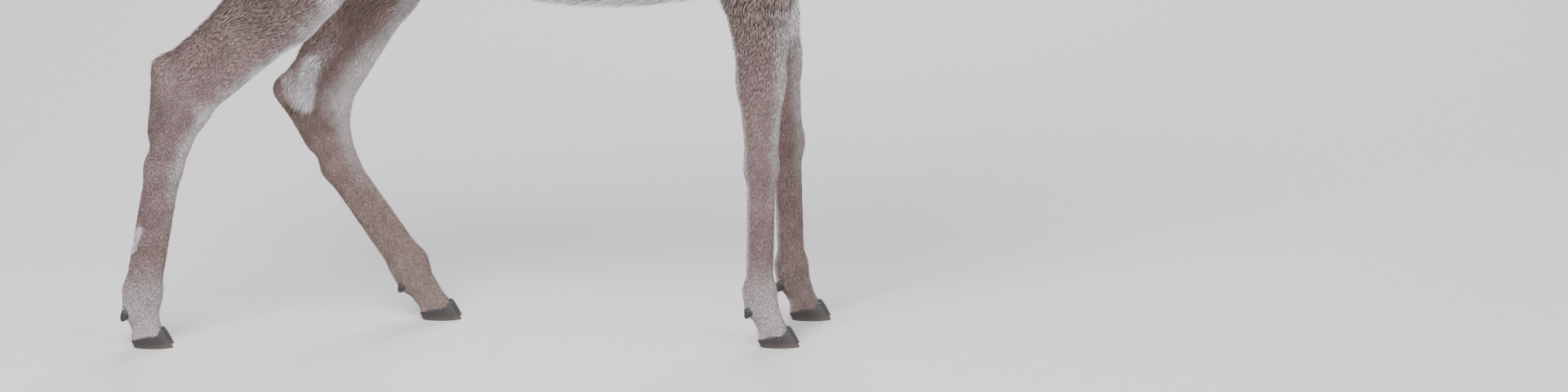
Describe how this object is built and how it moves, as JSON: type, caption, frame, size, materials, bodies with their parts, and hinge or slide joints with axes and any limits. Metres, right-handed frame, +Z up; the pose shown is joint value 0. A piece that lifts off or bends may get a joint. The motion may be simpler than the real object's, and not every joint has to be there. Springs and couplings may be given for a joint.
{
  "type": "white-tailed deer",
  "caption": "Life-size still model of an adult female white-tailed deer in mid-walk, all feet on the floor.",
  "frame": {"origin": "on the floor, under the middle of the model's box", "axes": "+X forward from tail to nose, +Y to the deer's left, +Z up; metres"},
  "size_m": [1.5758, 0.29, 1.3269],
  "materials": {
    "coat": "short grey-brown deer hair, paler below",
    "nose": "moist pebbled black skin",
    "eye": "wet dark brown",
    "hoof": "worn black horn"
  },
  "bodies": {
    "root": {"trunk": "coat", "neck": "coat", "head": "coat", "lower_jaw": "coat", "tail": "coat", "ear_left": "coat", "ear_right": "coat", "nose": "nose", "eye_left": "eye", "eye_right": "eye", "hind_right_thigh": "coat", "hind_right_gaskin": "coat", "hind_right_cannon": "coat", "hind_right_pastern": "coat", "hind_right_hoof_outer": "hoof", "hind_right_hoof_inner": "hoof", "hind_right_dewclaw_outer": "hoof", "hind_right_dewclaw_inner": "hoof", "hind_left_thigh": "coat", "hind_left_gaskin": "coat", "hind_left_cannon": "coat", "hind_left_pastern": "coat", "hind_left_hoof_outer": "hoof", "hind_left_hoof_inner": "hoof", "hind_left_dewclaw_outer": "hoof", "hind_left_dewclaw_inner": "hoof", "fore_right_elbow": "coat", "fore_right_forearm": "coat", "fore_right_cannon": "coat", "fore_right_pastern": "coat", "fore_right_hoof_outer": "hoof", "fore_right_hoof_inner": "hoof", "fore_right_dewclaw_outer": "hoof", "fore_right_dewclaw_inner": "hoof", "fore_left_elbow": "coat", "fore_left_forearm": "coat", "fore_left_cannon": "coat", "fore_left_pastern": "coat", "fore_left_hoof_outer": "hoof", "fore_left_hoof_inner": "hoof", "fore_left_dewclaw_outer": "hoof", "fore_left_dewclaw_inner": "hoof"}
  },
  "joints": []
}
